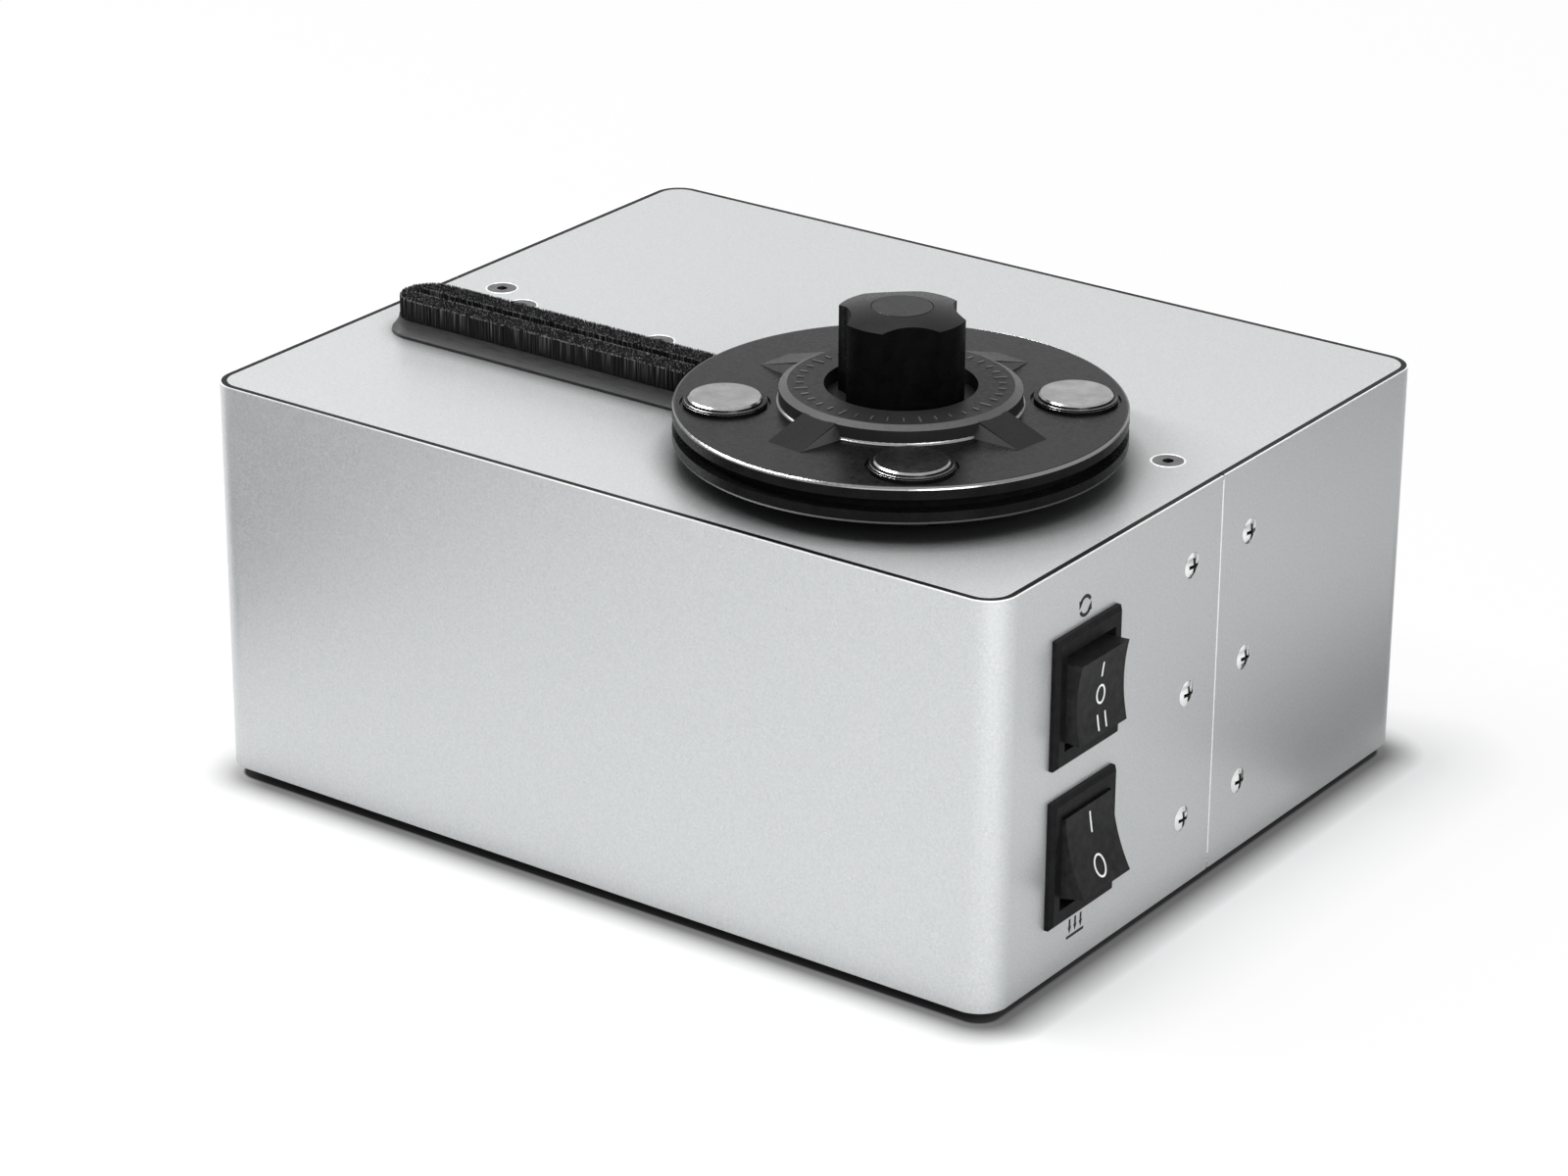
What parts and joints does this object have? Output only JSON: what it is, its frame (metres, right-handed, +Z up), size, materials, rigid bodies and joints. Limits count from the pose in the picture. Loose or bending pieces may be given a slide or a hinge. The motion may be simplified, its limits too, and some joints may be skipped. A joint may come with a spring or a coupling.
{
  "type": "record cleaning machine",
  "caption": "Box-shaped record cleaning machine with a magnetic label clamp, a brush and suction strip on top, rocker switches on the side and a liquid tank inside.",
  "frame": {"origin": "centre of the casing's footprint at the underside of the feet", "axes": "+Z up, +X to the right seen from the front, -Y towards the front panel"},
  "size_m": [0.2422, 0.1876, 0.1401],
  "materials": {
    "panel_silver": "satin silver with a fine speckle",
    "black_plate": "matt black",
    "zinc_steel": "bright zinc",
    "grey_steel": "satin grey",
    "rubber": "matt",
    "black_plastic": "satin moulded black",
    "rocker_black": "semi gloss black",
    "bristle": "fine black bristles",
    "tank_plastic": "translucent grey",
    "aluminium": "machined",
    "steel": "ground",
    "copper_coils": "varnished copper wire",
    "foam": "open foam",
    "brass": "turned",
    "nickel": "nickel plated",
    "gear_iron": "dark paint",
    "board_green": "satin",
    "board_dark": "matt",
    "wire": "coloured insulation"
  },
  "bodies": {
    "casing": {"front_shell": "panel_silver", "rear_shell": "panel_silver", "top_plate": "panel_silver", "base_plate": "black_plate", "left_bracket": "zinc_steel", "right_bracket": "zinc_steel", "panel_angles": "zinc_steel", "side_screws": "zinc_steel", "socket_screws": "grey_steel", "small_screws": "grey_steel", "feet": "rubber", "nozzle_body": "black_plastic", "brush": "bristle", "nozzle_duct": "black_plastic", "tank": "tank_plastic", "tank_gasket": "rubber", "tank_lid": "tank_plastic", "lid_grommet": "rubber", "drain_tube": "black_plastic", "fan_gasket": "rubber", "fan_case": "aluminium", "motor_frame": "aluminium", "vacuum_stator": "copper_coils", "vacuum_bearings": "steel", "fan_hanger": "aluminium", "fan_saddle": "rubber", "exhaust_filter": "foam", "bearing_housing": "aluminium", "spindle_bushes": "brass", "motor_plate": "zinc_steel", "motor_posts": "aluminium", "gearbox": "gear_iron", "motor_can": "steel", "motor_switch": "black_plastic", "vacuum_switch": "black_plastic", "power_inlet": "black_plastic", "control_board": "board_green", "board_parts": "board_dark", "wiring": "wire"},
    "platter_unit": {"spindle": "steel", "platter": "black_plastic", "platter_magnets": "nickel", "platter_seal": "rubber", "platter_screws": "grey_steel", "shaft_coupling": "aluminium", "gearbox_shaft": "steel"},
    "clamp_unit": {"clamp_disc": "black_plastic", "clamp_magnets": "nickel", "clamp_seal": "rubber", "clamp_bush": "brass", "clamp_knob": "black_plastic", "knob_screw": "zinc_steel", "knob_cap": "black_plastic"},
    "motor_rocker_unit": {"motor_rocker": "rocker_black"},
    "vacuum_rocker_unit": {"vacuum_rocker": "rocker_black"},
    "fan_rotor": {"fan_wheel": "aluminium", "vacuum_armature": "steel"},
    "fuse_drawer_unit": {"fuse_drawer": "black_plastic"},
    "drain_cap_unit": {"drain_cap": "rubber"}
  },
  "joints": [
    {"name": "platter_spin", "type": "hinge", "parent": "casing", "child": "platter_unit", "pos_m": [0.047, -0.0335, 0.1034], "axis": [0, 0, 1], "continuous": true},
    {"name": "clamp_lift", "type": "slide", "parent": "platter_unit", "child": "clamp_unit", "axis": [0, 0, 1], "range_m": [0, 0.06]},
    {"name": "motor_rocker_tilt", "type": "hinge", "parent": "casing", "child": "motor_rocker_unit", "pos_m": [0.111, -0.0572, 0.0717], "axis": [0, 1, 0], "range_deg": [-12, 12]},
    {"name": "vacuum_rocker_tilt", "type": "hinge", "parent": "casing", "child": "vacuum_rocker_unit", "pos_m": [0.111, -0.0572, 0.0323], "axis": [0, 1, 0], "range_deg": [0, 32]},
    {"name": "fan_spin", "type": "hinge", "parent": "casing", "child": "fan_rotor", "pos_m": [-0.0649, -0.0145, 0.0534], "axis": [0, 1, 0], "continuous": true},
    {"name": "fuse_drawer_pull", "type": "slide", "parent": "casing", "child": "fuse_drawer_unit", "axis": [0, 1, 0], "range_m": [0, 0.012]},
    {"name": "drain_cap_pull", "type": "slide", "parent": "casing", "child": "drain_cap_unit", "axis": [-1, 0, 0], "range_m": [0, 0.02]}
  ]
}
